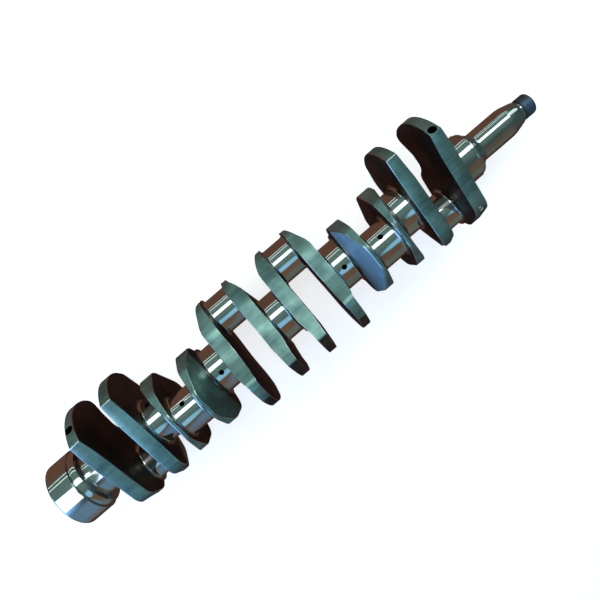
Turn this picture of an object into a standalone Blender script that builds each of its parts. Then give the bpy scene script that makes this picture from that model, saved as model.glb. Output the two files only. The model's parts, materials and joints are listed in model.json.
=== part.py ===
"""Crankshaft of an in-line six-cylinder engine, with seven main journals and eight counterweights.

The crank turns about the X axis, with its nose towards +X and its flywheel flange towards -X.
The origin is the middle of main journal 4. It lies as it rests on a bench, on the outer throws.
A web is drawn in its own throw's frame: u runs from the crank's axis towards the crankpin,
v is a quarter turn on, and x runs along the crank.
"""
import math

import bmesh
import bpy
from mathutils import Matrix, Vector

# Driving dimensions, in metres and degrees.
PITCH = 0.120                # from one cylinder to the next
STROKE = 0.127
MAIN_WIDTH = 0.031           # between the webs on each side of a main journal
MAIN_RADIUS = 0.039
PIN_WIDTH = 0.0425           # between the webs on each side of a crankpin
PIN_RADIUS = 0.0315
SWUNG_RADIUS = 0.1025        # of the counterweights on webs 1, 2, 11 and 12
ROUND_RADIUS = 0.0985        # of those on webs 5 and 8
CUT_RADIUS = 0.0935          # of those on webs 6 and 7, cut back across their ends
FLANGE_RADIUS = 0.0545
FLANGE_END = -0.4285         # rear face of the flange
NOSE_RADIUS = 0.0248
NOSE_END = 0.5035            # tip of the threaded end
GAP = 0.0003                 # left between pieces that touch
FLOOR_TURN = -24.0           # direction of throws 3 and 4 from +Y, as the crank rests

THROW = STROKE / 2
WEB = (PITCH - MAIN_WIDTH - PIN_WIDTH) / 2
THROW_ANGLES = [FLOOR_TURN + turn for turn in (-120, 120, 0, 0, 120, -120)]
SHAFT_SIDES = 40
BEARING_SIDES = 28


def main_x(number):
    """Middle of a main journal, counted from 1 at the nose."""
    return (4 - number) * PITCH


def pin_x(number):
    return (3.5 - number) * PITCH


# Materials

def metal(name, colour, roughness):
    material = bpy.data.materials.new(name)
    material.use_nodes = True
    shader = material.node_tree.nodes["Principled BSDF"]
    shader.inputs["Base Color"].default_value = (*colour, 1)
    shader.inputs["Metallic"].default_value = 1.0
    shader.inputs["Roughness"].default_value = roughness
    return material


# Mesh tools

def add_object(name, bm, material, matrix=None):
    bmesh.ops.remove_doubles(bm, verts=bm.verts, dist=1e-6)
    bmesh.ops.recalc_face_normals(bm, faces=bm.faces)
    mesh = bpy.data.meshes.new(name)
    bm.to_mesh(mesh)
    bm.free()
    mesh.shade_smooth()
    mesh.set_sharp_from_angle(angle=math.radians(30))
    mesh.materials.append(material)
    made = bpy.data.objects.new(name, mesh)
    bpy.context.scene.collection.objects.link(made)
    if matrix is not None:
        made.matrix_world = matrix
    return made


def turned(profile, sides=SHAFT_SIDES, closed=False):
    """A body turned about the X axis from its (x, radius) outline."""
    bm = bmesh.new()
    points = [bm.verts.new((x, radius, 0)) for x, radius in profile]
    pairs = list(zip(points, points[1:]))
    if closed:
        pairs.append((points[-1], points[0]))
    edges = [bm.edges.new(pair) for pair in pairs]
    bmesh.ops.spin(bm, geom=points + edges, cent=(0, 0, 0), axis=(1, 0, 0), angle=math.tau,
                   steps=sides, use_merge=True)
    return bm


def shaft(start, end, radius, chamfer=0.0008):
    """Outline of a plain round length of shaft with its edges broken."""
    return [(start, 0), (start, radius - chamfer), (start + chamfer, radius),
            (end - chamfer, radius), (end, radius - chamfer), (end, 0)]


def rounded(corners):
    """A closed outline through (u, v, radius) corners, each rounded to its radius with an arc."""
    outline = []
    count = len(corners)
    for i, (u, v, radius) in enumerate(corners):
        corner = Vector((u, v))
        if not radius:
            outline.append(corner)
            continue
        back = Vector(corners[i - 1][:2]) - corner
        ahead = Vector(corners[(i + 1) % count][:2]) - corner
        half = back.angle(ahead) / 2
        reach = min(radius / math.tan(half), 0.48 * back.length, 0.48 * ahead.length)
        radius = reach * math.tan(half)
        middle = corner + (back.normalized() + ahead.normalized()).normalized() * radius / math.sin(half)
        first = corner + back.normalized() * reach - middle
        turn = first.angle_signed(corner + ahead.normalized() * reach - middle)
        steps = max(2, math.ceil(abs(math.degrees(turn)) / 14))
        outline += [middle + Matrix.Rotation(-turn * k / steps, 2) @ first for k in range(steps + 1)]
    return outline


def shave(bm, point, normal):
    """Cuts away what lies beyond a plane, as a milling cutter does, and closes the cut."""
    geometry = bm.verts[:] + bm.edges[:] + bm.faces[:]
    cut = bmesh.ops.bisect_plane(bm, geom=geometry, plane_co=point, plane_no=normal, clear_outer=True)
    edges = [item for item in cut["geom_cut"] if isinstance(item, bmesh.types.BMEdge)]
    bmesh.ops.holes_fill(bm, edges=edges)


def cut_with(target, cutters):
    """Takes cutter shapes out of a piece with Boolean modifiers."""
    for number, cutter in enumerate(cutters):
        cutter.hide_render = True
        cutter.display_type = "WIRE"
        boolean = target.modifiers.new(f"cut_{number}", "BOOLEAN")
        boolean.operation = "DIFFERENCE"
        boolean.solver = "EXACT"
        boolean.object = cutter


def drill(name, radius, depth, matrix):
    """A round cutter that goes depth below the surface, whose outward normal is the matrix's Z."""
    above = 0.006
    bm = bmesh.new()
    bmesh.ops.create_cone(bm, cap_ends=True, segments=14, radius1=radius, radius2=radius,
                          depth=depth + above)
    bmesh.ops.translate(bm, verts=bm.verts, vec=(0, 0, (above - depth) / 2))
    return add_object(name, bm, DRILLED, matrix)


def facing(point, direction):
    """A frame at a point whose Z points along a direction."""
    return Matrix.Translation(point) @ Vector(direction).to_track_quat("Z", "Y").to_matrix().to_4x4()


def outward(x, radius, angle):
    """A frame on a shaft's surface whose Z points away from its centre line."""
    y, z = math.cos(math.radians(angle)), math.sin(math.radians(angle))
    return facing((x, radius * y, radius * z), (0, y, z))


def throw_frame(number):
    return Matrix.Rotation(math.radians(THROW_ANGLES[number - 1]), 4, "X")


# Journals: ground round, each with an oil hole at its middle.

MAIN_OIL_ANGLES = [-99, -99, 90, -99, 90, 32, -99]
PIN_OIL_ANGLES = [-129, 59, -79, -79, 52, -129]
OIL_HOLE_RADIUS = 0.003
OIL_HOLE_DEPTH = 0.014
FRONT_MAIN_END = 0.3765
REAR_MAIN_END = -0.3757


def add_main_journals():
    for number in range(1, 8):
        start = main_x(number) - MAIN_WIDTH / 2 + GAP
        end = main_x(number) + MAIN_WIDTH / 2 - GAP
        if number == 1:
            end = FRONT_MAIN_END
        if number == 7:
            start = REAR_MAIN_END
        journal = add_object(f"main_journal_{number}", turned(shaft(start, end, MAIN_RADIUS)), GROUND)
        place = outward(main_x(number), MAIN_RADIUS, MAIN_OIL_ANGLES[number - 1])
        cut_with(journal, [drill(f"main_oil_hole_{number}", OIL_HOLE_RADIUS, OIL_HOLE_DEPTH, place)])


def add_crankpins():
    for number in range(1, 7):
        half = PIN_WIDTH / 2 - GAP
        centre = throw_frame(number) @ Matrix.Translation((pin_x(number), THROW, 0))
        pin = add_object(f"crankpin_{number}", turned(shaft(-half, half, PIN_RADIUS)), GROUND, centre)
        angle = PIN_OIL_ANGLES[number - 1] - THROW_ANGLES[number - 1]
        place = centre @ outward(0, PIN_RADIUS, angle)
        cut_with(pin, [drill(f"pin_oil_hole_{number}", OIL_HOLE_RADIUS, OIL_HOLE_DEPTH, place)])


# Webs: forged cheeks with milled edges. Eight of the twelve carry a counterweight.

def rim(start, end, radius):
    """Corners along the counterweight's round rim, between two angles from straight opposite the pin."""
    steps = 10
    angles = [math.radians(start + (end - start) * k / steps) for k in range(steps + 1)]
    return [(-radius * math.cos(a), radius * math.sin(a), 0) for a in angles]


def swung_outline(corner, tip, waist):
    """A cheek whose counterweight is swung 30 degrees from straight opposite its pin."""
    far_corner = (-0.040, 0.0925, 0.018)
    near_side = [(0.031, -0.076, 0.026), (0.079, -0.048, 0.030)]
    lobe = [(tip, 0.0, 0.030), (0.078, 0.042, 0.030), (0.028, 0.058, 0.024)]
    return rounded([far_corner, *rim(54, corner, SWUNG_RADIUS), *near_side, *lobe, *waist])


def straight_outline(sawn):
    """A cheek whose counterweight lies straight opposite its pin, with a round or a cut-back end."""
    shoulder = [(0.036, -0.060, 0.060), (0.084, -0.046, 0.030), (0.1035, 0.0, 0.026),
                (0.084, 0.046, 0.030), (0.036, 0.060, 0.060), (-0.010, 0.050, 0.080)]
    waist = [(-0.010, -0.050, 0.080)]
    if sawn:
        end = [(-0.077, 0.054, 0.003), *rim(30, -30, CUT_RADIUS), (-0.077, -0.054, 0.003)]
    else:
        end = [(-0.066, 0.062, 0.020), *rim(24, -26, ROUND_RADIUS), (-0.066, -0.064, 0.020)]
    return rounded([*end, *waist, *shoulder])


def plain_outline(narrow_end):
    """A cheek with no counterweight: an egg shape, round the main journal and the crankpin."""
    side = [(0.101, 0.022, 0.026), *narrow_end]
    other_side = [(u, -v, radius) for u, v, radius in reversed(side)]
    return rounded([*side, *other_side])


def hollow(bm, profile, sign):
    """Cuts the main journal's side back at one end, to a depth for each distance along the throw."""
    for distance, _ in profile[:-1]:
        geometry = bm.verts[:] + bm.edges[:] + bm.faces[:]
        bmesh.ops.bisect_plane(bm, geom=geometry, plane_co=(0, sign * distance, 0), plane_no=(0, 1, 0))
    for vert in bm.verts:
        distance = sign * vert.co.y
        if abs(vert.co.x - GAP) > 1e-6 or distance <= profile[0][0]:
            continue
        for (near, shallow), (far, deep) in zip(profile, profile[1:]):
            if near < distance <= far:
                vert.co.x += shallow + (deep - shallow) * (distance - near) / (far - near)
                break


def web_body(outline, pin_end, weight_end, drafts, weight_turn):
    """The cheek lies between x = 0, its main journal's side, and x = WEB, its crankpin's side.
    Its pin end is milled to a thin tip, and its counterweight, where it has one, thins to its rim."""
    bm = bmesh.new()
    face = bm.faces.new([bm.verts.new((GAP, u, v)) for u, v in outline])
    grown = bmesh.ops.extrude_face_region(bm, geom=[face])["geom"]
    raised = [item for item in grown if isinstance(item, bmesh.types.BMVert)]
    bmesh.ops.translate(bm, verts=raised, vec=(WEB - 2 * GAP, 0, 0))
    bmesh.ops.recalc_face_normals(bm, faces=bm.faces)
    turn = math.radians(180 - weight_turn)
    away = Vector((0, math.cos(turn), math.sin(turn)))
    for x, outwards, draft in ((GAP, -1, drafts[0]), (WEB - GAP, 1, drafts[1])):
        if draft:
            slope = math.radians(draft)
            slant = Vector((outwards * math.cos(slope), 0, 0)) + away * math.sin(slope)
            shave(bm, Vector((x, 0, 0)) + away * 0.042, slant)
    hollow(bm, pin_end, 1)
    if weight_end:
        hollow(bm, weight_end, -1)
    return bm


def web_shape(number):
    """For a web: its outline, the profiles of its pin end and of its counterweight on the main
    journal's side, the counterweight's drafts on that side and on the other, and its turn."""
    open_waist = [(-0.004, 0.041, 0.024), (-0.024, 0.052, 0.012)]
    half_waist = [(-0.002, 0.050, 0.024), (-0.024, 0.070, 0.020)]
    full_waist = [(-0.004, 0.084, 0.040)]
    if number == 1:
        pin_end = [(0.046, 0), (0.056, 0.003), (0.080, 0.009), (0.102, 0.0150)]
        return swung_outline(-12, 0.098, open_waist), pin_end, None, (3, 4), 30
    if number == 12:
        pin_end = [(0.044, 0), (0.052, 0.006), (0.064, 0.0105), (0.102, 0.0165)]
        return swung_outline(-14, 0.0975, half_waist), pin_end, None, (5, 4), 30
    if number in (2, 11):
        pin_end = [(0.046, 0), (0.049, 0.005), (0.056, 0.0095), (0.070, 0.0125), (0.102, 0.016)]
        return swung_outline(-2, 0.0975, full_waist), pin_end, None, (2, 4), 30
    if number in (5, 8):
        pin_end = [(0.042, 0), (0.052, 0.002), (0.070, 0.0085), (0.086, 0.0140), (0.106, 0.0168)]
        weight_end = [(0.040, 0), (0.046, 0.004), (0.060, 0.0055), (0.100, 0.0068)]
        return straight_outline(False), pin_end, weight_end, (0, 3), 0
    if number in (6, 7):
        pin_end = [(0.046, 0), (0.058, 0.001), (0.070, 0.0050), (0.085, 0.0120), (0.106, 0.0165)]
        weight_end = [(0.040, 0), (0.048, 0.003), (0.060, 0.0045), (0.095, 0.0050)]
        return straight_outline(True), pin_end, weight_end, (0, 5), 0
    if number in (4, 9):
        narrow_end = [(0.070, 0.056, 0.036), (0.014, 0.064, 0.034), (-0.041, 0.011, 0.024)]
    else:
        narrow_end = [(0.070, 0.058, 0.036), (0.008, 0.070, 0.034), (-0.047, 0.014, 0.024)]
    return plain_outline(narrow_end), [(0.037, 0), (0.102, 0.0175)], None, (0, 0), 0


def web_frame(number):
    """Where a web stands: its local x = 0 is on its main journal's side."""
    throw = (number + 1) // 2
    if number % 2:
        return Matrix.Translation((main_x(throw) - MAIN_WIDTH / 2, 0, 0)) @ throw_frame(throw), -1
    return Matrix.Translation((main_x(throw + 1) + MAIN_WIDTH / 2, 0, 0)) @ throw_frame(throw), 1


BALANCE_HOLES = {1: -8, 12: 2}   # web: angle of the hole from straight opposite the pin
BALANCE_RADIUS = 0.0065
BALANCE_DEPTH = 0.022
PLUG_RADIUS = 0.0065
PLUG_DEPTH = 0.008
PLUG_ALONG = 0.030               # how far along the throw the oil gallery's mouth is
PLUG_SIDES = {1: -1, 3: 1, 5: -1, 7: -1, 9: 1, 11: 1}   # web: side of the cheek that is drilled


def plug_frame(number):
    """On the edge of a cheek, at the mouth of its throw's oil gallery, with Z pointing out."""
    frame, direction = web_frame(number)
    outline, side = web_shape(number)[0], PLUG_SIDES[number]
    for start, end in zip(outline, outline[1:] + outline[:1]):
        near, far = sorted((start[0], end[0]))
        if near <= PLUG_ALONG < far and side * start[1] > 0:
            along = (PLUG_ALONG - start[0]) / (end[0] - start[0])
            v = start[1] + along * (end[1] - start[1])
            slope = (end[1] - start[1]) / (end[0] - start[0])
            return frame @ facing((direction * WEB / 2, PLUG_ALONG, v), (0, -side * slope, side))


def add_webs():
    for number in range(1, 13):
        frame, direction = web_frame(number)
        bm = web_body(*web_shape(number))
        bmesh.ops.scale(bm, verts=bm.verts, vec=(direction, 1, 1))
        web = add_object(f"web_{number}", bm, FORGED, frame)
        cutters = []
        if number in BALANCE_HOLES:
            place = frame @ outward(direction * WEB / 2, SWUNG_RADIUS, 180 - BALANCE_HOLES[number])
            cutters.append(drill(f"balance_hole_{number}", BALANCE_RADIUS, BALANCE_DEPTH, place))
        if number in PLUG_SIDES:
            cutters.append(drill(f"gallery_mouth_{number}", PLUG_RADIUS, PLUG_DEPTH, plug_frame(number)))
        cut_with(web, cutters)


def add_oil_plugs():
    """A steel plug is staked in the mouth of each throw's oil gallery, just below the cheek's edge."""
    length = PLUG_DEPTH - 0.0008 - GAP
    for throw, number in enumerate(sorted(PLUG_SIDES), start=1):
        bm = bmesh.new()
        bmesh.ops.create_cone(bm, cap_ends=True, segments=14, radius1=PLUG_RADIUS - GAP,
                              radius2=PLUG_RADIUS - GAP, depth=length)
        bmesh.ops.translate(bm, verts=bm.verts, vec=(0, 0, length / 2 + GAP - PLUG_DEPTH))
        add_object(f"oil_plug_{throw}", bm, BEARING, plug_frame(number))


# Nose: a round end for the pulley hub, a taper, and a thread for the hub's nut.

def add_nose():
    land = [(0.3768, 0), (0.3768, 0.0368), (0.3776, 0.0374), (0.3812, 0.0370), (0.3846, 0.0350)]
    shoulder = [(0.3884, 0.0290), (0.3925, 0.0256), (0.3970, NOSE_RADIUS)]
    taper = [(0.451, NOSE_RADIUS), (0.460, 0.0237), (0.4782, 0.0189), (0.4794, 0.0178)]
    undercut = [(0.4794, 0.0150), (0.4832, 0.0150), (0.4832, 0)]
    add_object("nose_taper", turned(land + shoulder + taper + undercut), GROUND)
    thread = [(0.4835, 0), (0.4835, 0.0152), (0.4850, 0.0176), (NOSE_END - 0.004, 0.0176),
              (NOSE_END - 0.0008, 0.0144), (NOSE_END, 0.0124), (NOSE_END, 0)]
    add_object("nose_thread", turned(thread), DARK)


# Rear end: the oil seal's collar, and the flange that carries the flywheel and the pilot bearing.

SEAT_RADIUS = 0.0235         # a 20 x 47 x 14 mm ball bearing
BEARING_HALF_WIDTH = 0.007
BEARING_X = FLANGE_END + 0.003 + BEARING_HALF_WIDTH
FLANGE_FRONT = -0.3885
BOLT_COUNT = 8
BOLT_CIRCLE = 0.039
BOLT_RADIUS = 0.006
BOLT_DEPTH = 0.026
DOWEL_RADIUS = 0.005
DOWEL_LENGTH = 0.018
DOWEL_ABOVE = 0.006
DOWEL_ANGLE = -112.5         # between two bolt holes


def rear_face(angle, radius=BOLT_CIRCLE):
    """A frame on the flange's rear face, with Z pointing out of it."""
    turn = math.radians(angle)
    return facing((FLANGE_END, radius * math.cos(turn), radius * math.sin(turn)), (-1, 0, 0))


def add_rear_end():
    collar = [(-0.3882, 0), (-0.3882, 0.0506), (-0.3874, 0.0515), (-0.3810, 0.0512), (-0.3778, 0.0492),
              (-0.3765, 0.0462), (-0.3760, 0.0440), (-0.3760, 0)]
    add_object("seal_collar", turned(collar), GROUND)
    bore = SEAT_RADIUS + GAP
    seat_front = BEARING_X + BEARING_HALF_WIDTH + GAP
    blind_end = seat_front + 0.011
    spigot = SEAT_RADIUS - 0.0055
    flange = [(blind_end, 0), (blind_end, spigot), (seat_front, spigot), (seat_front, bore),
              (FLANGE_END + 0.0012, bore), (FLANGE_END, bore + 0.0012), (FLANGE_END, FLANGE_RADIUS - 0.002),
              (FLANGE_END + 0.002, FLANGE_RADIUS), (FLANGE_FRONT - 0.0008, FLANGE_RADIUS),
              (FLANGE_FRONT, FLANGE_RADIUS - 0.0008), (FLANGE_FRONT, 0)]
    body = add_object("rear_flange", turned(flange), GROUND)
    holes = [drill(f"bolt_hole_{k + 1}", BOLT_RADIUS, BOLT_DEPTH, rear_face(k * 360 / BOLT_COUNT))
             for k in range(BOLT_COUNT)]
    depth = DOWEL_LENGTH - DOWEL_ABOVE
    holes.append(drill("dowel_hole", DOWEL_RADIUS + GAP, depth, rear_face(DOWEL_ANGLE)))
    cut_with(body, holes)
    dowel = turned(shaft(GAP - depth, DOWEL_ABOVE, DOWEL_RADIUS, 0.001), sides=20)
    lengthwise = Matrix.Rotation(math.radians(-90), 4, "Y")
    add_object("flange_dowel", dowel, BEARING, rear_face(DOWEL_ANGLE) @ lengthwise)


# Pilot bearing: it carries the spigot of the gearbox's input shaft in the rear flange.

BALL_COUNT = 8
BALL_RADIUS = 0.00397
BALL_CIRCLE = 0.01675
RACE_RADIUS = BALL_RADIUS + 0.00028
SHAFT_BORE = 0.010
INNER_LAND = 0.0142
OUTER_LAND = 0.0193
SHIELD_SEAT = 0.0213
SHIELD_FACE = 0.0060         # from the bearing's middle
SHIELD_THICKNESS = 0.0006
CAGE_HALF_WIDTH = 0.0054
CAGE_INNER = 0.0160
CAGE_OUTER = 0.0175
POCKET_RADIUS = 0.00435


def race(land, outwards):
    """Outline of a ball groove, from one edge of its land to the other."""
    reach = math.asin((BALL_CIRCLE - land) * (-outwards) / RACE_RADIUS)
    steps = 4
    points = []
    for k in range(steps + 1):
        turn = reach + (math.pi - 2 * reach) * k / steps
        points.append((-RACE_RADIUS * math.cos(turn), BALL_CIRCLE + outwards * RACE_RADIUS * math.sin(turn)))
    return points


def add_pilot_bearing():
    half, inner, outer = BEARING_HALF_WIDTH, SHAFT_BORE, SEAT_RADIUS
    place = Matrix.Translation((BEARING_X, 0, 0))
    inner_ring = [(-half, inner), (-half, INNER_LAND), *race(INNER_LAND, -1),
                  (half, INNER_LAND), (half, inner)]
    add_object("pilot_inner_ring", turned(inner_ring, BEARING_SIDES, True), BEARING, place)
    step = SHIELD_FACE - GAP
    outer_ring = [(-half, outer), (-half, SHIELD_SEAT), (-step, SHIELD_SEAT), (-step, OUTER_LAND),
                  *race(OUTER_LAND, 1), (step, OUTER_LAND), (step, SHIELD_SEAT),
                  (half, SHIELD_SEAT), (half, outer)]
    add_object("pilot_outer_ring", turned(outer_ring, BEARING_SIDES, True), BEARING, place)
    for name, side in (("rear", -1), ("front", 1)):
        near, far = side * SHIELD_FACE, side * (SHIELD_FACE + SHIELD_THICKNESS)
        low, high = INNER_LAND + 0.0004, SHIELD_SEAT - GAP
        shield = turned([(near, low), (near, high), (far, high), (far, low)], BEARING_SIDES, True)
        add_object(f"pilot_shield_{name}", shield, BEARING, place)
    band = [(-CAGE_HALF_WIDTH, CAGE_INNER), (-CAGE_HALF_WIDTH, CAGE_OUTER),
            (CAGE_HALF_WIDTH, CAGE_OUTER), (CAGE_HALF_WIDTH, CAGE_INNER)]
    cage = add_object("pilot_cage", turned(band, BEARING_SIDES, True), CAGE, place)
    angles = [(k + 0.5) * 360 / BALL_COUNT for k in range(BALL_COUNT)]
    cut_with(cage, [drill(f"pocket_{k + 1}", POCKET_RADIUS, 0.004, place @ outward(0, CAGE_OUTER, angle))
                    for k, angle in enumerate(angles)])
    for k, angle in enumerate(angles, start=1):
        bm = bmesh.new()
        bmesh.ops.create_uvsphere(bm, u_segments=12, v_segments=7, radius=BALL_RADIUS)
        add_object(f"pilot_ball_{k}", bm, BEARING, place @ outward(0, BALL_CIRCLE, angle))


for old in list(bpy.data.objects):
    bpy.data.objects.remove(old, do_unlink=True)

GROUND = metal("ground_journal", (0.60, 0.66, 0.64), 0.12)
FORGED = metal("machined_forging", (0.34, 0.42, 0.40), 0.38)
DARK = metal("blackened_steel", (0.06, 0.08, 0.11), 0.42)
BEARING = metal("bearing_steel", (0.70, 0.71, 0.72), 0.15)
CAGE = metal("cage_steel", (0.55, 0.50, 0.38), 0.35)
DRILLED = metal("drilled_hole", (0.05, 0.05, 0.05), 0.6)

add_main_journals()
add_crankpins()
add_webs()
add_oil_plugs()
add_nose()
add_rear_end()
add_pilot_bearing()
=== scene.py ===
"""Looks of a six-cylinder in-line engine crankshaft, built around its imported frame.

The crank turns about the X axis, with its nose towards +X and its flywheel flange towards -X.
Everything is in metres in the frame's own axes.
"""
import json
import math

import bmesh
import bpy
from mathutils import Matrix, Vector

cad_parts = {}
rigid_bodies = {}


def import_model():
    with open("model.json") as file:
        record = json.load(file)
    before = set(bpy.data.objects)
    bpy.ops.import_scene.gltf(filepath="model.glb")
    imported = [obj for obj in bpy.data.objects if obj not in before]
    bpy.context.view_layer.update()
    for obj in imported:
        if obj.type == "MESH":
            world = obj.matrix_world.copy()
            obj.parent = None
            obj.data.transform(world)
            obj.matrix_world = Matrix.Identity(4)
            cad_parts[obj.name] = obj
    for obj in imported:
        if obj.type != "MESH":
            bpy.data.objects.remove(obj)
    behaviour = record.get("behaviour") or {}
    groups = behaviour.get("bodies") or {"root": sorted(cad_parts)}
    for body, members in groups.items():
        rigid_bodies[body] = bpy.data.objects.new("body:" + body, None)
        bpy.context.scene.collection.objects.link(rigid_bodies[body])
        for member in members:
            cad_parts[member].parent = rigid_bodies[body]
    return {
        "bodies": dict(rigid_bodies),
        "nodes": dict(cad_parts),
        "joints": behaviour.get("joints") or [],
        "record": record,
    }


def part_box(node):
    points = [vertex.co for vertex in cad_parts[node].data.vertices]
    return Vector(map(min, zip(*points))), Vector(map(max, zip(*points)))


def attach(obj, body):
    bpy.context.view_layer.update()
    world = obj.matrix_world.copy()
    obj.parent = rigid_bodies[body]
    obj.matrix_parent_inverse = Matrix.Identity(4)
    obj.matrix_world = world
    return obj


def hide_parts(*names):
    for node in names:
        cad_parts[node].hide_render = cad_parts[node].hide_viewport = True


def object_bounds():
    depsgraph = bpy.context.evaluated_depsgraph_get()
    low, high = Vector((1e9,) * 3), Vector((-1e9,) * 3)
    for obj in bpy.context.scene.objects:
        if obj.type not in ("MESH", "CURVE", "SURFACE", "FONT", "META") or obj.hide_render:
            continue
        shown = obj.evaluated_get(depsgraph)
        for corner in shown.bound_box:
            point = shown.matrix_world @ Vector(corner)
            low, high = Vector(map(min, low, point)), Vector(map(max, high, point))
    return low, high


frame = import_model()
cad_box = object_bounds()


# ---- Main journals ---------------------------------------------------------------------------
# Seven round bearings on the crank's own axis, part of the one steel forging. They are turned,
# hardened, then ground and lapped to a mirror, with a rolled fillet against a raised thrust face
# at each cheek, and an oil hole in the middle that is broken round its edge.

def node(tree, kind, inputs=None, **settings):
    """Adds a shader node; inputs holds plain values or other nodes' outputs, by socket."""
    made = tree.nodes.new(kind)
    for name, value in settings.items():
        setattr(made, name, value)
    for name, value in (inputs or {}).items():
        if isinstance(value, bpy.types.NodeSocket):
            tree.links.new(value, made.inputs[name])
        else:
            made.inputs[name].default_value = value
    return made


def new_group(name, inputs, outputs):
    """An empty node group, with its input values and its varying outputs named."""
    group = bpy.data.node_groups.new(name, "ShaderNodeTree")
    for label, kind, value in inputs:
        socket = group.interface.new_socket(label, in_out="INPUT", socket_type=kind)
        socket.default_value = value
    for label, kind in outputs:
        group.interface.new_socket(label, in_out="OUTPUT", socket_type=kind)
    return group, group.nodes.new("NodeGroupInput").outputs, group.nodes.new("NodeGroupOutput")


def tool_marks():
    """Fine marks left by a cutter or a stone, drawn out by a stretch along each axis, as a height
    and as a streak mask, with a slower mottle of handling and oil."""
    group, given, result = new_group(
        "tool_marks",
        [("Stretch", "NodeSocketVector", (1, 1, 1)), ("Fineness", "NodeSocketFloat", 100.0)],
        [("Height", "NodeSocketFloat"), ("Streak", "NodeSocketFloat"), ("Mottle", "NodeSocketFloat")])
    where = node(group, "ShaderNodeTexCoord").outputs["Object"]
    drawn = node(group, "ShaderNodeVectorMath", {0: where, 1: given["Stretch"]}, operation="MULTIPLY")
    fine = node(group, "ShaderNodeTexNoise",
                {"Vector": drawn.outputs[0], "Scale": given["Fineness"], "Detail": 3.0, "Roughness": 0.65})
    coarse_scale = node(group, "ShaderNodeMath", {0: given["Fineness"], 1: 0.22}, operation="MULTIPLY")
    coarse = node(group, "ShaderNodeTexNoise",
                  {"Vector": drawn.outputs[0], "Scale": coarse_scale.outputs[0], "Detail": 2.0})
    streak = node(group, "ShaderNodeMapRange",
                  {"Value": coarse.outputs[0], "From Min": 0.35, "From Max": 0.65})
    mottle = node(group, "ShaderNodeTexNoise", {"Vector": where, "Scale": 24.0, "Detail": 3.0})
    spread = node(group, "ShaderNodeMapRange",
                  {"Value": mottle.outputs[0], "From Min": 0.36, "From Max": 0.64})
    group.links.new(fine.outputs[0], result.inputs["Height"])
    group.links.new(streak.outputs[0], result.inputs["Streak"])
    group.links.new(spread.outputs[0], result.inputs["Mottle"])
    return group


TOOL_MARKS = tool_marks()


def steel(name, light, dark, stretch, fineness, gloss, depth, metallic=1.0):
    """A steel finish: two tints mixed by the tool marks, a roughness range and a depth of mark."""
    material = bpy.data.materials.new(name)
    material.use_nodes = True
    tree = material.node_tree
    shader = tree.nodes["Principled BSDF"]
    shader.inputs["Metallic"].default_value = metallic
    marks = node(tree, "ShaderNodeGroup", node_tree=TOOL_MARKS)
    marks.inputs["Stretch"].default_value = stretch
    marks.inputs["Fineness"].default_value = fineness
    patchy = node(tree, "ShaderNodeMix", {0: 0.75, 2: marks.outputs["Streak"], 3: marks.outputs["Mottle"]})
    tint = node(tree, "ShaderNodeMix", {0: patchy.outputs[0], 6: (*light, 1), 7: (*dark, 1)},
                data_type="RGBA")
    tree.links.new(tint.outputs[2], shader.inputs["Base Color"])
    rough = node(tree, "ShaderNodeMapRange",
                 {"Value": marks.outputs["Mottle"], "To Min": gloss[0], "To Max": gloss[1]})
    tree.links.new(rough.outputs[0], shader.inputs["Roughness"])
    bump = node(tree, "ShaderNodeBump",
                {"Height": marks.outputs["Height"], "Strength": depth, "Distance": 0.0002})
    tree.links.new(bump.outputs[0], shader.inputs["Normal"])
    return material


LAPPED = steel("lapped_journal", (0.80, 0.86, 0.84), (0.66, 0.74, 0.72), (1, 0.03, 0.03), 1600,
               (0.035, 0.075), 0.006)
# Painted shade: the walls of every drilled hole are near black, for the shade that fills them.
HOLE_SHADE = steel("drilled_hole", (0.03, 0.03, 0.03), (0.012, 0.012, 0.014), (1, 1, 1), 500,
                (0.45, 0.65), 0.3)
THRUST = steel("thrust_face", (0.30, 0.29, 0.26), (0.18, 0.17, 0.15), (1, 1, 1), 600, (0.22, 0.34), 0.15)
JOURNAL_FINISHES = [LAPPED, THRUST, HOLE_SHADE]


def turned(profile, sides=128, closed=False):
    """A body turned about the X axis from its (x, radius) outline."""
    bm = bmesh.new()
    points = [bm.verts.new((x, radius, 0)) for x, radius in profile]
    pairs = list(zip(points, points[1:]))
    if closed:
        pairs.append((points[-1], points[0]))
    edges = [bm.edges.new(pair) for pair in pairs]
    bmesh.ops.spin(bm, geom=points + edges, cent=(0, 0, 0), axis=(1, 0, 0), angle=math.tau,
                   steps=sides, use_merge=True)
    return bm


def arc(x, radius, size, start, end, steps=6):
    """Points (x, radius) round a corner of that size, from one angle to another in degrees."""
    angles = [math.radians(start + (end - start) * k / steps) for k in range(steps + 1)]
    return [(x + size * math.cos(a), radius + size * math.sin(a)) for a in angles]


def make_piece(name, bm, materials, sharp=30):
    """Closes a mesh, points its faces outwards and shades it, with edges over sharp degrees crisp."""
    bmesh.ops.remove_doubles(bm, verts=bm.verts, dist=2e-6)
    bmesh.ops.recalc_face_normals(bm, faces=bm.faces)
    mesh = bpy.data.meshes.new(name)
    bm.to_mesh(mesh)
    bm.free()
    for material in materials:
        mesh.materials.append(material)
    mesh.shade_smooth()
    mesh.set_sharp_from_angle(angle=math.radians(sharp))
    piece = bpy.data.objects.new(name, mesh)
    bpy.context.scene.collection.objects.link(piece)
    return piece


def stand_for(piece, cad_node, body="crank"):
    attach(piece, body)
    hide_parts(cad_node)


def facing(point, direction):
    """A frame at a point whose Z points along a direction."""
    return Matrix.Translation(point) @ Vector(direction).to_track_quat("Z", "Y").to_matrix().to_4x4()


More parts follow.
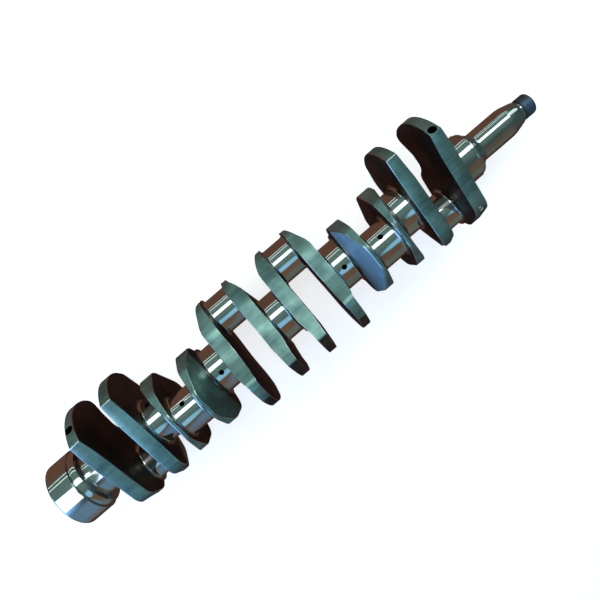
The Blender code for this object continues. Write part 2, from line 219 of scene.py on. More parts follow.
def drilled(piece, holes):
    """Drills holes with broken edges, each (place, radius, depth, chamfer), and keeps the result.
    The holes' walls get the piece's last material."""
    for place, radius, depth, chamfer in holes:
        top = 0.004
        bit = turned([(-depth - radius * 0.5, 0), (-depth, radius), (-chamfer, radius),
                      (top, radius + chamfer + top), (top, 0)], sides=32)
        bmesh.ops.transform(bit, matrix=place @ Matrix.Rotation(math.radians(-90), 4, "Y"), verts=bit.verts)
        for face in bit.faces:
            face.material_index = len(piece.data.materials) - 1
        cutter = make_piece("bit", bit, piece.data.materials)
        cut = piece.modifiers.new("hole", "BOOLEAN")
        cut.object = cutter
        cut.solver = "EXACT"
        bpy.context.view_layer.update()
        seen = piece.evaluated_get(bpy.context.evaluated_depsgraph_get())
        worn = piece.data
        piece.data = bpy.data.meshes.new_from_object(seen)
        piece.modifiers.clear()
        bpy.data.objects.remove(cutter)
        bpy.data.meshes.remove(worn)
    piece.data.set_sharp_from_angle(angle=math.radians(30))


PITCH = 0.120                # from one throw to the next
GAP = 0.0003                 # that the frame leaves between a journal and its cheeks
SUNK = 0.001                 # how far a journal's ends reach into the cheeks
THRUST_HEIGHT = 0.0012       # of the raised face round a journal
THRUST_WIDTH = 0.0065        # of that face, from the journal outwards
FILLET = 0.0032
MAIN_RADIUS = 0.039
MAIN_OIL_ANGLES = [-99, -99, 90, -99, 90, 32, -99]
OIL_HOLE = 0.0033
OIL_DEPTH = 0.016
OIL_CHAMFER = 0.0009


def middle_of(cad_node):
    low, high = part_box(cad_node)
    return (low + high) / 2


def end_of_journal(face, side, radius, thrust):
    """Outline of one end: the raised thrust face at a cheek, and the fillet down to the journal."""
    top = face + side * THRUST_HEIGHT
    points = [(face - side * SUNK, 0), (face - side * SUNK, thrust), (top - side * 0.0005, thrust),
              (top, thrust - 0.0006)]
    fillet = arc(0, 0, FILLET, 180, 270)
    return points + [(top + side * (FILLET + x), radius + FILLET + y) for x, y in fillet]


def journal(start, end, radius, thrust):
    """A ground journal between two cheeks' faces."""
    bm = turned([*end_of_journal(start, 1, radius, thrust),
                 *reversed(end_of_journal(end, -1, radius, thrust))])
    for face in bm.faces:
        if max(math.hypot(vert.co.y, vert.co.z) for vert in face.verts) > thrust - 0.001:
            face.material_index = JOURNAL_FINISHES.index(THRUST)
    return bm


def front_end(end):
    """Outline of the front main journal's end, with a shallow groove just behind its edge."""
    groove = MAIN_RADIUS - 0.0005
    return [(end - 0.0022, MAIN_RADIUS), (end - 0.0018, groove), (end - 0.0012, groove),
            (end - 0.0008, MAIN_RADIUS), (end - 0.0003, MAIN_RADIUS), (end, groove), (end, 0)]


def rear_end(start):
    """Outline of the rear main journal's end, relieved for the grinding wheel beside the collar."""
    relief = MAIN_RADIUS - 0.0010
    return [(start, 0), (start, relief), (start + 0.0016, relief), (start + 0.0026, MAIN_RADIUS)]


def outward(x, radius, angle):
    """A frame on a shaft's surface whose Z points away from its centre line."""
    y, z = math.cos(math.radians(angle)), math.sin(math.radians(angle))
    return facing((x, radius * y, radius * z), (0, y, z))


for number in range(1, 8):
    name = f"main_journal_{number}"
    low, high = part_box(name)
    start, end = low.x - GAP, high.x + GAP
    thrust = MAIN_RADIUS + THRUST_WIDTH
    if number == 1:
        bm = turned(end_of_journal(start, 1, MAIN_RADIUS, thrust) + front_end(end))
    elif number == 7:
        bm = turned([*rear_end(start), *reversed(end_of_journal(end, -1, MAIN_RADIUS, thrust))])
    else:
        bm = journal(start, end, MAIN_RADIUS, thrust)
    piece = make_piece(f"lapped_main_{number}", bm, JOURNAL_FINISHES)
    middle = middle_of("crankpin_1").x - PITCH * (number - 1.5)
    place = outward(middle, MAIN_RADIUS, MAIN_OIL_ANGLES[number - 1])
    drilled(piece, [(place, OIL_HOLE, OIL_DEPTH, OIL_CHAMFER)])
    stand_for(piece, name)


# ---- Crankpins -------------------------------------------------------------------------------
# Six journals for the rods, part of the same forging, each on the line of its own throw. They are
# hardened, ground and lapped like the mains, with the same fillets, thrust faces and oil holes.

PIN_RADIUS = 0.0315
PIN_THRUST_WIDTH = 0.006
PIN_OIL_ANGLES = [-129, 59, -79, -79, 52, -129]

for number in range(1, 7):
    name = f"crankpin_{number}"
    low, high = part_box(name)
    centre = middle_of(name)
    throw_line = Matrix.Translation((0, centre.y, centre.z))
    bm = journal(low.x - GAP, high.x + GAP, PIN_RADIUS, PIN_RADIUS + PIN_THRUST_WIDTH)
    bmesh.ops.transform(bm, matrix=throw_line, verts=bm.verts)
    piece = make_piece(f"lapped_pin_{number}", bm, JOURNAL_FINISHES)
    place = throw_line @ outward(centre.x, PIN_RADIUS, PIN_OIL_ANGLES[number - 1])
    drilled(piece, [(place, OIL_HOLE, OIL_DEPTH, OIL_CHAMFER)])
    stand_for(piece, name)


# ---- Cheeks ----------------------------------------------------------------------------------
# Twelve forged cheeks join the journals, two to a throw. Their edges and thrust faces are milled
# across, their broad faces keep the brown-black of the forge under oil, deepened with painted shade
# for the hollows between the cheeks, and every edge is broken.
# Eight carry a counterweight: four swung to one side, and four straight opposite the pin.

MILLED = steel("milled_edge", (0.34, 0.58, 0.52), (0.13, 0.24, 0.23), (0.05, 1, 1), 900,
               (0.32, 0.46), 0.16, metallic=0.75)
# The broad faces' colour: the dark brown of the forge under oil, plus painted shade for the hollows between
# the cheeks.
FORGED_AND_SHADED = steel("forged_face_painted_shade", (0.17, 0.13, 0.11), (0.08, 0.06, 0.05), (1, 1, 1), 260,
               (0.40, 0.54), 0.25)
BROKEN = steel("broken_edge", (0.70, 0.82, 0.82), (0.55, 0.66, 0.67), (1, 1, 1), 500,
               (0.20, 0.30), 0.1)
# Painted reflection: a light blue painted on the pin-end bevels of two cheeks, with little metal in it, for
# the blue of the room that those bevels mirror.
BLUE_REFLECTION = steel("bevel_painted_blue_reflection", (0.42, 0.64, 0.80), (0.26, 0.42, 0.56), (1, 1, 1), 700,
              (0.34, 0.48), 0.2, metallic=0.3)
EDGE, FACE, CORNER, BLUE_REFLECTION_END = range(4)     # places of those finishes in a cheek's list
SWUNG_RADIUS = 0.1021


def rounded(corners):
    """A closed outline through (u, v, radius) corners, each rounded to its radius with an arc."""
    outline = []
    count = len(corners)
    for i, (u, v, radius) in enumerate(corners):
        corner = Vector((u, v))
        if not radius:
            outline.append(corner)
            continue
        back = Vector(corners[i - 1][:2]) - corner
        ahead = Vector(corners[(i + 1) % count][:2]) - corner
        half = back.angle(ahead) / 2
        reach = min(radius / math.tan(half), 0.49 * back.length, 0.49 * ahead.length)
        radius = reach * math.tan(half)
        middle = corner + (back.normalized() + ahead.normalized()).normalized() * radius / math.sin(half)
        first = corner + back.normalized() * reach - middle
        turn = first.angle_signed(corner + ahead.normalized() * reach - middle)
        steps = max(3, math.ceil(abs(math.degrees(turn)) / 4))
        outline += [middle + Matrix.Rotation(-turn * k / steps, 2) @ first for k in range(steps + 1)]
    return outline


def rim(start, end, radius):
    """Corners along the counterweight's round rim, between two angles from straight opposite the pin."""
    steps = max(4, round(abs(end - start) / 4))
    angles = [math.radians(start + (end - start) * k / steps) for k in range(steps + 1)]
    return [(-radius * math.cos(a), radius * math.sin(a), 0) for a in angles]


def swung_outline(corner, tip, waist):
    far_corner = (-0.040, 0.0925, 0.018)
    near_side = [(0.031, -0.076, 0.026), (0.079, -0.048, 0.030)]
    lobe = [(tip, 0.0, 0.030), (0.0778, 0.0418, 0.030), (0.028, 0.058, 0.024)]
    return rounded([far_corner, *rim(54, corner, SWUNG_RADIUS), *near_side, *lobe, *waist])


def straight_outline(sawn):
    shoulder = [(0.036, -0.060, 0.060), (0.084, -0.046, 0.030), (0.1035, 0.0, 0.026),
                (0.084, 0.046, 0.030), (0.036, 0.060, 0.060), (-0.010, 0.050, 0.080)]
    waist = [(-0.010, -0.050, 0.080)]
    if sawn:
        end = [(-0.077, 0.054, 0.003), *rim(30, -30, 0.0933), (-0.077, -0.054, 0.003)]
    else:
        end = [(-0.066, 0.062, 0.020), *rim(24, -26, 0.0983), (-0.066, -0.064, 0.020)]
    return rounded([*end, *waist, *shoulder])


def plain_outline(narrow_end):
    side = [(0.1008, 0.022, 0.026), *narrow_end]
    other_side = [(u, -v, radius) for u, v, radius in reversed(side)]
    return rounded([*side, *other_side])


def shave(bm, point, normal):
    """Cuts away what lies beyond a plane, and closes the cut with a forged face, dark with painted shade."""
    geometry = bm.verts[:] + bm.edges[:] + bm.faces[:]
    cut = bmesh.ops.bisect_plane(bm, geom=geometry, plane_co=point, plane_no=normal, clear_outer=True)
    edges = [item for item in cut["geom_cut"] if isinstance(item, bmesh.types.BMEdge)]
    closed = bmesh.ops.holes_fill(bm, edges=edges)["faces"]
    for face in closed:
        face.material_index = FACE


def hollow(bm, profile, sign, finish):
    """Cuts the main journal's side back at one end, to a depth for each distance along the throw,
    and gives the cut a finish."""
    for distance, _ in profile[:-1]:
        geometry = bm.verts[:] + bm.edges[:] + bm.faces[:]
        bmesh.ops.bisect_plane(bm, geom=geometry, plane_co=(0, sign * distance, 0), plane_no=(0, 1, 0))
    for vert in bm.verts:
        distance = sign * vert.co.y
        if abs(vert.co.x) > 1e-6 or distance <= profile[0][0]:
            continue
        for (near, shallow), (far, deep) in zip(profile, profile[1:]):
            if near < distance <= far:
                vert.co.x = shallow + (deep - shallow) * (distance - near) / (far - near)
                break
    bm.normal_update()
    for face in bm.faces:
        if face.normal.x < -0.3 and sign * face.calc_center_median().y > profile[0][0]:
            face.material_index = finish


DRAFT_START = 0.042              # how far from the crank's axis a counterweight's draft starts
BROKEN_EDGE = 0.0014


def cheek(outline, thickness, pin_end, weight_end, drafts, weight_turn, bevel):
    """A cheek from x = 0, its main journal's side, to its thickness, its crankpin's side. A straight
    counterweight's round end is left as forged, in the broad faces' dark colour with its painted shade."""
    bm = bmesh.new()
    face = bm.faces.new([bm.verts.new((0, u, v)) for u, v in outline])
    grown = bmesh.ops.extrude_face_region(bm, geom=[face])["geom"]
    raised = [item for item in grown if isinstance(item, bmesh.types.BMVert)]
    bmesh.ops.translate(bm, verts=raised, vec=(thickness, 0, 0))
    bmesh.ops.recalc_face_normals(bm, faces=bm.faces)
    for side in bm.faces:
        side.material_index = FACE if abs(side.normal.x) > 0.9 else EDGE
    turn = math.radians(180 - weight_turn)
    away = Vector((0, math.cos(turn), math.sin(turn)))
    for x, outwards, draft in ((0, -1, drafts[0]), (thickness, 1, drafts[1])):
        if draft:
            slope = math.radians(draft)
            slant = Vector((outwards * math.cos(slope), 0, 0)) + away * math.sin(slope)
            shave(bm, Vector((x, 0, 0)) + away * DRAFT_START, slant)
    hollow(bm, pin_end, 1, bevel)
    if weight_end:
        hollow(bm, weight_end, -1, FACE)
        for side in bm.faces:
            if side.normal.y < -0.82 and side.calc_center_median().y < -0.075:
                side.material_index = FACE
    corners = [edge for edge in bm.edges if len(edge.link_faces) == 2
               and edge.calc_face_angle(0) > math.radians(38)]
    broken = bmesh.ops.bevel(bm, geom=corners, offset=BROKEN_EDGE, offset_type="OFFSET", segments=3,
                             profile=0.5, affect="EDGES", material=-1, clamp_overlap=True)
    for face in broken["faces"]:
        face.material_index = CORNER
    return bm


def cheek_shape(number):
    """For a cheek: its outline, the profiles of its pin end and of its counterweight on the main
    journal's side, the counterweight's drafts on that side and on the other, and its turn."""
    open_waist = [(-0.004, 0.041, 0.024), (-0.024, 0.052, 0.012)]
    half_waist = [(-0.002, 0.050, 0.024), (-0.024, 0.070, 0.020)]
    full_waist = [(-0.004, 0.084, 0.040)]
    if number == 1:
        pin_end = [(0.046, 0), (0.056, 0.003), (0.080, 0.009), (0.102, 0.0150)]
        return swung_outline(-12, 0.098, open_waist), pin_end, None, (3, 4), 30
    if number == 12:
        pin_end = [(0.044, 0), (0.052, 0.006), (0.064, 0.0105), (0.102, 0.0165)]
        return swung_outline(-14, 0.0975, half_waist), pin_end, None, (5, 4), 30
    if number in (2, 11):
        pin_end = [(0.046, 0), (0.049, 0.005), (0.056, 0.0095), (0.070, 0.0125), (0.102, 0.016)]
        return swung_outline(-2, 0.0975, full_waist), pin_end, None, (2, 4), 30
    if number in (5, 8):
        pin_end = [(0.042, 0), (0.052, 0.002), (0.070, 0.0085), (0.086, 0.0140), (0.106, 0.0168)]
        weight_end = [(0.037, 0), (0.050, 0.0022), (0.064, 0.0052), (0.100, 0.0068)]
        return straight_outline(False), pin_end, weight_end, (0, 3), 0
    if number in (6, 7):
        pin_end = [(0.046, 0), (0.058, 0.001), (0.070, 0.0050), (0.085, 0.0120), (0.106, 0.0165)]
        weight_end = [(0.038, 0), (0.050, 0.0020), (0.064, 0.0040), (0.095, 0.0050)]
        return straight_outline(True), pin_end, weight_end, (0, 5), 0
    if number in (4, 9):
        narrow_end = [(0.070, 0.056, 0.036), (0.014, 0.064, 0.034), (-0.041, 0.011, 0.024)]
    else:
        narrow_end = [(0.070, 0.058, 0.036), (0.008, 0.070, 0.034), (-0.047, 0.014, 0.024)]
    return plain_outline(narrow_end), [(0.037, 0), (0.102, 0.0175)], None, (0, 0), 0


BALANCE_HOLES = {1: -8, 12: 2}   # cheek: angle of the hole from straight opposite the pin
BALANCE_RADIUS = 0.0065
BALANCE_DEPTH = 0.022
BLUE_REFLECTION_CHEEKS = (3, 4)            # with a blue reflection painted on the bevel at the pin's end
PLUG_SIDES = {1: -1, 3: 1, 5: -1, 7: -1, 9: 1, 11: 1}   # cheek: side that is drilled for the oil gallery
PLUG_ALONG = 0.030               # how far along the throw the gallery's mouth is
PLUG_RADIUS = 0.0065
PLUG_DEPTH = 0.008


def cheek_frame(number):
    """Where a cheek stands, its thickness, and whether it grows towards +X or -X."""
    low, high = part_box(f"web_{number}")
    pin = middle_of(f"crankpin_{(number + 1) // 2}")
    throw = Matrix.Rotation(math.atan2(pin.z, pin.y), 4, "X")
    thickness = high.x - low.x + 2 * GAP
    if number % 2:
        return Matrix.Translation((high.x + GAP, 0, 0)) @ throw, thickness, -1
    return Matrix.Translation((low.x - GAP, 0, 0)) @ throw, thickness, 1


def plug_frame(number):
    """On the edge of a cheek, at the mouth of its throw's oil gallery, with Z pointing out."""
    frame, thickness, direction = cheek_frame(number)
    outline, side = cheek_shape(number)[0], PLUG_SIDES[number]
    for start, end in zip(outline, outline[1:] + outline[:1]):
        near, far = sorted((start[0], end[0]))
        if near <= PLUG_ALONG < far and side * start[1] > 0:
            along = (PLUG_ALONG - start[0]) / (end[0] - start[0])
            v = start[1] + along * (end[1] - start[1])
            slope = (end[1] - start[1]) / (end[0] - start[0])
            return frame @ facing((direction * thickness / 2, PLUG_ALONG, v), (0, -side * slope, side))


for number in range(1, 13):
    place, thickness, direction = cheek_frame(number)
    outline, pin_end, weight_end, drafts, weight_turn = cheek_shape(number)
    bevel = BLUE_REFLECTION_END if number in BLUE_REFLECTION_CHEEKS else EDGE
    bm = cheek(outline, thickness, pin_end, weight_end, drafts, weight_turn, bevel)
    bmesh.ops.scale(bm, verts=bm.verts, vec=(direction, 1, 1))
    bmesh.ops.transform(bm, matrix=place, verts=bm.verts)
    piece = make_piece(f"cheek_{number}", bm, [MILLED, FORGED_AND_SHADED, BROKEN, BLUE_REFLECTION, HOLE_SHADE])
    holes = []
    if number in BALANCE_HOLES:
        turn = 180 - BALANCE_HOLES[number]
        hole = place @ outward(direction * thickness / 2, SWUNG_RADIUS, turn)
        holes.append((hole, BALANCE_RADIUS, BALANCE_DEPTH, 0.0006))
    if number in PLUG_SIDES:
        holes.append((plug_frame(number), PLUG_RADIUS, PLUG_DEPTH, 0.0005))
    drilled(piece, holes)
    stand_for(piece, f"web_{number}")


# ---- Oil gallery plugs -----------------------------------------------------------------------
# Small turned steel plugs, one to a throw, pressed into the mouths of the drilled oil galleries
# just below the cheek's edge, and staked, which leaves a ring and a centre mark.

PLUG = steel("staked_plug", (0.55, 0.60, 0.60), (0.36, 0.40, 0.40), (1, 1, 1), 500, (0.25, 0.40), 0.3)
PLUG_FACE = -0.0008              # of the plug, below the cheek's edge
PLUG_FOOT = 0.0002 - PLUG_DEPTH
plug_outline = [(PLUG_FOOT, 0), (PLUG_FOOT, PLUG_RADIUS), (PLUG_FACE - 0.0003, PLUG_RADIUS),
                (PLUG_FACE, PLUG_RADIUS - 0.0004), (PLUG_FACE, 0.0046), (PLUG_FACE - 0.0008, 0.0042),
                (PLUG_FACE - 0.0008, 0.0030), (PLUG_FACE - 0.0001, 0.0026),
                (PLUG_FACE - 0.0001, 0.0012), (PLUG_FACE - 0.0010, 0)]

for throw, number in enumerate(sorted(PLUG_SIDES), start=1):
    bm = turned(plug_outline, sides=48)
    upright = Matrix.Rotation(math.radians(-90), 4, "Y")
    bmesh.ops.transform(bm, matrix=plug_frame(number) @ upright, verts=bm.verts)
    piece = make_piece(f"gallery_plug_{throw}", bm, [PLUG])
    stand_for(piece, f"oil_plug_{throw}")


# ---- Nose ------------------------------------------------------------------------------------
# The front end of the forging. It steps down from the front main journal in two rounded shoulders,
# and is ground round for the oil seal and the pulley's hub, and then to a taper.

low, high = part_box("nose_taper")
NOSE_RADIUS = 0.0248
UNDERCUT_RADIUS = 0.0150         # between the taper and the thread
shoulder = [(low.x - 0.001, 0), (low.x - 0.001, 0.0368), (low.x + 0.0006, 0.0373),
            *arc(0.3790, 0.0313, 0.0060, 85, 25), (0.3880, 0.0290),
            *reversed(arc(0.3965, NOSE_RADIUS + 0.0070, 0.0070, 270, 215))]
taper = [(0.450, NOSE_RADIUS), (0.454, NOSE_RADIUS - 0.0002), (0.460, NOSE_RADIUS - 0.0010),
         (0.4780, 0.0190), (0.4793, 0.0180)]
undercut = [(0.4797, UNDERCUT_RADIUS), (high.x, UNDERCUT_RADIUS), (high.x, 0)]
piece = make_piece("ground_nose", turned(shoulder + taper + undercut), [LAPPED])
stand_for(piece, "nose_taper")


# ---- Threaded end ----------------------------------------------------------------------------
# The last 25 mm of the forging, cut with a fine thread for the nut that holds the pulley's hub,
# then blackened and oiled. Its tip is rounded over.

BLACKENED = steel("blackened_thread", (0.24, 0.31, 0.35), (0.12, 0.165, 0.20), (1, 1, 1), 400,
                  (0.28, 0.42), 0.3, metallic=0.9)
low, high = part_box("nose_thread")
THREAD_PITCH = 0.0015
THREAD_RADIUS = 0.0176
THREAD_DEPTH = 0.0005
TIP_ROUND = 0.0042
rings = [(low.x - 0.0005, 0), (low.x - 0.0005, UNDERCUT_RADIUS)]
first, last = low.x + 0.0012, high.x - TIP_ROUND
count = 8 * round((last - first) / THREAD_PITCH)
rings += [(first + (last - first) * k / count, THREAD_RADIUS) for k in range(count + 1)]
rings += [*arc(last, THREAD_RADIUS - TIP_ROUND, TIP_ROUND, 80, 0), (high.x, 0)]
bm = turned(rings, sides=96)
for vert in bm.verts:
    radius = math.hypot(vert.co.y, vert.co.z)
    if first <= vert.co.x <= last:
        turns = vert.co.x / THREAD_PITCH - math.atan2(vert.co.z, vert.co.y) / math.tau
        groove = THREAD_DEPTH * abs(2 * (turns % 1) - 1)
        fade = min(1, (vert.co.x - first) / 0.001, (last - vert.co.x) / 0.001)
        scale = 1 - groove * fade / radius
        vert.co.y *= scale
        vert.co.z *= scale
piece = make_piece("nose_end_thread", bm, [BLACKENED], sharp=50)
stand_for(piece, "nose_thread")


# ---- Seal collar -----------------------------------------------------------------------------
# A collar of the forging between the rear main journal and the flange, ground for the rear oil
# seal, with a rounded rear corner that leaves a narrow groove before the flange.

low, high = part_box("seal_collar")
collar = [(low.x - 0.001, 0), (low.x - 0.001, 0.0503), (low.x + 0.0004, 0.0503), (low.x + 0.0012, 0.0513),
          (low.x + 0.0072, 0.0511), *arc(high.x - 0.0028, 0.0474, 0.0024, 70, 15), (high.x - 0.0002, 0.0450),
          (high.x, 0.0440), (high.x + 0.0004, 0.0400), (high.x + 0.0004, 0)]
piece = make_piece("ground_collar", turned(collar), [LAPPED])
stand_for(piece, "seal_collar")


# ---- Flywheel flange -------------------------------------------------------------------------
# The rear end of the forging: a thick flange, ground outside and faced, bored for the pilot
# bearing, and drilled for eight flywheel bolts and one dowel.

low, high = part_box("rear_flange")
FLANGE_RADIUS = 0.0545
BORE = 0.0238
SPIGOT = 0.018
BOLT_CIRCLE = 0.039
BOLT_RADIUS = 0.006
BOLT_DEPTH = 0.026
DOWEL_RADIUS = 0.005
DOWEL_DEPTH = 0.012
DOWEL_ANGLE = -112.5
bearing_low, bearing_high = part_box("pilot_outer_ring")
seat_end = bearing_high.x + GAP
flange = [(seat_end + 0.011, 0), (seat_end + 0.011, SPIGOT), (seat_end, SPIGOT), (seat_end, BORE),
          (low.x + 0.0012, BORE), (low.x, BORE + 0.0012), (low.x, FLANGE_RADIUS - 0.0035),
          *reversed(arc(low.x + 0.0035, FLANGE_RADIUS - 0.0035, 0.0035, 90, 175)),
          (high.x - 0.0008, FLANGE_RADIUS), (high.x, FLANGE_RADIUS - 0.0008), (high.x, 0)]
piece = make_piece("ground_flange", turned(flange), [LAPPED, HOLE_SHADE])


def rear_face(angle):
    """A frame on the flange's rear face, with Z pointing out of it."""
    turn = math.radians(angle)
    return facing((low.x, BOLT_CIRCLE * math.cos(turn), BOLT_CIRCLE * math.sin(turn)), (-1, 0, 0))


holes = [(rear_face(angle), BOLT_RADIUS, BOLT_DEPTH, 0.0012) for angle in range(0, 360, 45)]
holes.append((rear_face(DOWEL_ANGLE), DOWEL_RADIUS, DOWEL_DEPTH, 0.0006))
drilled(piece, holes)
stand_for(piece, "rear_flange")


# ---- Flywheel dowel --------------------------------------------------------------------------
# A hardened pin with a rounded end, pressed into the flange between two of its bolt holes. It
# sets the flywheel's place.

low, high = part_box("flange_dowel")
pin = middle_of("flange_dowel")
DOWEL_ROUND = 0.0014
dowel = [(low.x, 0), (low.x, DOWEL_RADIUS - DOWEL_ROUND),
         *arc(low.x + DOWEL_ROUND, DOWEL_RADIUS - DOWEL_ROUND, DOWEL_ROUND, 180, 90),
         (high.x, DOWEL_RADIUS), (high.x, 0)]
bm = turned(dowel, sides=48)
bmesh.ops.translate(bm, verts=bm.verts, vec=(0, pin.y, pin.z))
piece = make_piece("flywheel_dowel", bm, [PLUG])
stand_for(piece, "flange_dowel")


# ---- Pilot bearing ---------------------------------------------------------------------------
# A 20 x 47 x 14 mm ball bearing pressed into the flange, which carries the end of the gearbox's
# input shaft: two hardened rings, eight balls in a pressed cage, and a thin shield on each side.

RACE = steel("bearing_steel", (0.74, 0.76, 0.76), (0.62, 0.64, 0.64), (1, 0.05, 0.05), 1500,
             (0.10, 0.18), 0.08)
FACED = steel("faced_steel", (0.62, 0.66, 0.65), (0.48, 0.52, 0.52), (1, 1, 1), 700, (0.20, 0.30), 0.25)
CAGE = steel("pressed_cage", (0.62, 0.52, 0.34), (0.44, 0.36, 0.24), (1, 1, 1), 400, (0.28, 0.40), 0.3)
low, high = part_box("pilot_outer_ring")
bearing_x = (low.x + high.x) / 2
HALF = 0.007                 # of the bearing's width
BALL_RADIUS = 0.00397
BALL_CIRCLE = 0.01675
RACE_RADIUS = BALL_RADIUS + 0.00028
INNER_LAND = 0.0142
OUTER_LAND = 0.0193
SHIELD_SEAT = 0.0213
SHIELD_STEP = 0.0057         # from the bearing's middle to the step that a shield sits against


def race(land, outwards):
    """Outline of a ball groove, from one edge of its land to the other."""
    reach = math.asin((BALL_CIRCLE - land) * (-outwards) / RACE_RADIUS)
    points = []
    for k in range(13):
        turn = reach + (math.pi - 2 * reach) * k / 12
        height = outwards * RACE_RADIUS * math.sin(turn)
        points.append((-RACE_RADIUS * math.cos(turn), BALL_CIRCLE + height))
    return points


inner_ring = [(-HALF, 0.0106), (-HALF, INNER_LAND - 0.0003), (-HALF + 0.0003, INNER_LAND),
              *race(INNER_LAND, -1), (HALF - 0.0003, INNER_LAND), (HALF, INNER_LAND - 0.0003),
              (HALF, 0.0106), (HALF - 0.0006, 0.0100), (-HALF + 0.0006, 0.0100)]
outer_ring = [(-HALF, 0.0229), (-HALF, SHIELD_SEAT), (-SHIELD_STEP, SHIELD_SEAT),
              (-SHIELD_STEP, OUTER_LAND), *race(OUTER_LAND, 1), (SHIELD_STEP, OUTER_LAND),
              (SHIELD_STEP, SHIELD_SEAT), (HALF, SHIELD_SEAT), (HALF, 0.0229),
              (HALF - 0.0006, 0.0235), (-HALF + 0.0006, 0.0235)]
for name, ring, cad_node, body in (("inner_race", inner_ring, "pilot_inner_ring", "pilot_inner"),
                                   ("outer_race", outer_ring, "pilot_outer_ring", "crank")):
    bm = turned(ring, closed=True)
    bmesh.ops.translate(bm, verts=bm.verts, vec=(bearing_x, 0, 0))
    stand_for(make_piece(name, bm, [RACE]), cad_node, body)

for name, side in (("rear", -1), ("front", 1)):
    near, far = side * 0.0060, side * 0.0066
    shield = [(near, 0.0146), (near, 0.0210), (near + side * 0.0003, 0.0212), (far, 0.0210), (far, 0.0192),
              (far - side * 0.0002, 0.0188), (far - side * 0.0002, 0.0150), (far, 0.0147)]
    bm = turned(shield, closed=True)
    bmesh.ops.translate(bm, verts=bm.verts, vec=(bearing_x, 0, 0))
    stand_for(make_piece(f"bearing_shield_{name}", bm, [FACED]), f"pilot_shield_{name}")

band = [(-0.0054, 0.0160), (-0.0054, 0.0175), (0.0054, 0.0175), (0.0054, 0.0160)]
bm = turned(band, closed=True)
bmesh.ops.translate(bm, verts=bm.verts, vec=(bearing_x, 0, 0))
piece = make_piece("ball_cage", bm, [CAGE, CAGE])
ball_angles = [(k + 0.5) * 45 for k in range(8)]
drilled(piece, [(outward(bearing_x, 0.0175, angle), 0.00435, 0.003, 0.0001) for angle in ball_angles])
stand_for(piece, "pilot_cage", "pilot_cage")

for k, angle in enumerate(ball_angles, start=1):
    bm = bmesh.new()
    place = outward(bearing_x, BALL_CIRCLE, angle)
    bmesh.ops.create_icosphere(bm, subdivisions=4, radius=BALL_RADIUS, matrix=place)
    piece = make_piece(f"bearing_ball_{k}", bm, [RACE])
    stand_for(piece, f"pilot_ball_{k}", "pilot_cage")


# ---- Floor -----------------------------------------------------------------------------------
# A plain pale floor, just under the crank's lowest counterweights. The steel doesn't mirror it, so
# the journals show only the lamps and the dim room.

bm = bmesh.new()
bmesh.ops.create_grid(bm, x_segments=1, y_segments=1, size=6)
bmesh.ops.translate(bm, verts=bm.verts, vec=(0, 0, cad_box[0].z - 0.0005))
paper = bpy.data.materials.new("pale_paper")
paper.use_nodes = True
tree = paper.node_tree
shader = tree.nodes["Principled BSDF"]
shader.inputs["Base Color"].default_value = (0.9, 0.9, 0.9, 1)
shader.inputs["Roughness"].default_value = 0.9
shader.inputs["Emission Color"].default_value = (1, 1, 1, 1)
shader.inputs["Emission Strength"].default_value = 0.75
floor = make_piece("floor", bm, [paper])
floor.visible_glossy = False
floor.visible_diffuse = False


# ---- Light -----------------------------------------------------------------------------------
# Long lamps over the crank and parallel to it, in a dim room, so that the lapped journals carry
# long clean bands of light. A short one beyond the flywheel end is for the flange alone.

def lamp(name, place, aim, size, power, colour):
    data = bpy.data.lights.new(name, "AREA")
    data.shape = "RECTANGLE"
    data.size, data.size_y = size
    data.energy = power
    data.color = colour
    made = bpy.data.objects.new(name, data)
    made.location = place
    made.rotation_mode = "QUATERNION"
    ahead = (Vector(aim) - Vector(place)).normalized()
    side = Vector((1, 0, 0))
    up = ahead.cross(side).normalized()
    made.rotation_quaternion = Matrix((side, -up, -ahead)).transposed().to_quaternion()
    made.visible_camera = False
    bpy.context.scene.collection.objects.link(made)


lamp("window", (0.28, 0.72, 1.25), (0.28, 0, 0), (2.84, 0.44), 8.1, (0.95, 1.0, 0.98))
lamp("end_window", (-0.702, 0.02, 0.46), (-0.42, 0, 0.05), (0.155, 0.40), 0.26, (1.0, 0.96, 1.0))
lamp("tube_high", (0.0, 1.15, 0.52), (0, 0, 0), (3.4, 0.05), 0.75, (0.9, 1.0, 0.97))
lamp("tube_low", (0.0, 1.25, 0.26), (0, 0, 0), (3.4, 0.04), 0.6, (0.9, 1.0, 0.97))

world = bpy.data.worlds.new("room")
bpy.context.scene.world = world
world.use_nodes = True
tree = world.node_tree
looking = node(tree, "ShaderNodeTexCoord").outputs["Generated"]
sky = (0.05, 0.075, 0.075, 1)
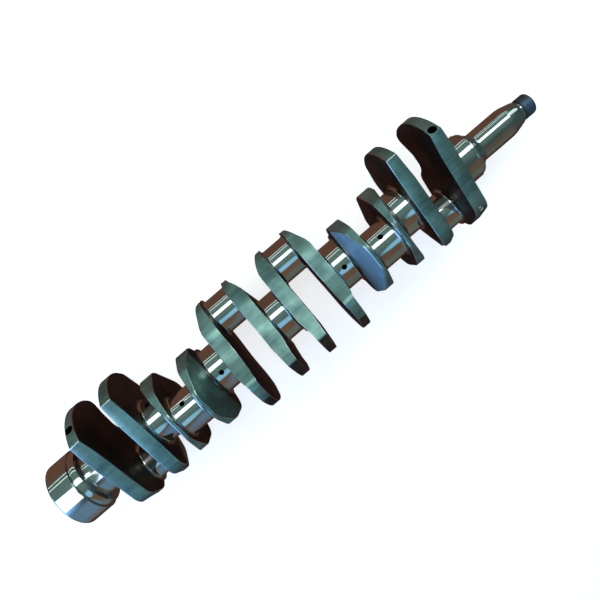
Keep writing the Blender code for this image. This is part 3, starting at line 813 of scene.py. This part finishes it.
# Patches of light in the room: the way to each, how near to it the patch starts and is full, as
# cosines, and its colour.
PATCHES = [((0.0, 0.62, 0.75), 0.30, 0.95, (0.13, 0.20, 0.185, 1)),
           ((0.0, -0.86, 0.50), 0.75, 0.97, (0.15, 0.085, 0.055, 1)),
           ((0.0, 0.75, -0.65), 0.35, 0.80, (0.13, 0.06, 0.04, 1)),
           ((0.0, -0.60, -0.80), 0.35, 0.80, (0.07, 0.032, 0.027, 1)),
           ((0.10, -1.0, -0.08), 0.84, 0.98, (0.12, 0.135, 0.115, 1)),
           ((-0.50, -0.86, -0.08), 0.84, 0.98, (0.15, 0.15, 0.17, 1)),
           ((-0.90, -0.10, 0.42), 0.79, 0.94, (0.50, 1.02, 1.95, 1)),
           ((-0.60, -0.75, 0.30), 0.85, 0.97, (0.13, 0.22, 0.33, 1)),
           ((0.05, -0.40, 0.92), 0.965, 0.993, (0.28, 0.55, 0.75, 1)),
           ((-0.22, -0.42, 0.88), 0.965, 0.993, (0.28, 0.55, 0.75, 1)),
           ((0.72, 0.47, 0.52), 0.983, 0.993, (0.9, 1.05, 1.0, 1)),
           ((0.81, 0.43, 0.41), 0.983, 0.993, (0.9, 1.05, 1.0, 1)),
           ((0.88, 0.38, 0.28), 0.983, 0.993, (0.9, 1.05, 1.0, 1))]
colour = sky
for direction, start, end, tint in PATCHES:
    unit = Vector(direction).normalized()
    near = node(tree, "ShaderNodeVectorMath", {0: looking, 1: unit}, operation="DOT_PRODUCT")
    share = node(tree, "ShaderNodeMapRange",
                 {"Value": near.outputs["Value"], "From Min": start, "From Max": end},
                 interpolation_type="SMOOTHSTEP")
    mixed = node(tree, "ShaderNodeMix", {0: share.outputs[0], 6: colour, 7: tint}, data_type="RGBA")
    colour = mixed.outputs[2]
seen = node(tree, "ShaderNodeLightPath").outputs["Is Camera Ray"]
backdrop = node(tree, "ShaderNodeMix", {0: seen, 6: colour, 7: (0.92, 0.93, 0.93, 1)}, data_type="RGBA")
tree.links.new(backdrop.outputs[2], tree.nodes["Background"].inputs["Color"])


# ---- Camera ----------------------------------------------------------------------------------
# Held 0.84 m over the crank's axis and a little to its +Y side, and turned so that the nose
# points up to the right.

data = bpy.data.cameras.new("camera")
data.lens = 33.04
data.sensor_width = 36
camera = bpy.data.objects.new("camera", data)
camera.location = (0.0471, 0.1599, 0.8382)
camera.rotation_euler = [math.radians(angle) for angle in (-8.714, -6.614, -40.174)]
bpy.context.scene.collection.objects.link(camera)
bpy.context.scene.camera = camera
bpy.context.scene.view_settings.view_transform = "Standard"
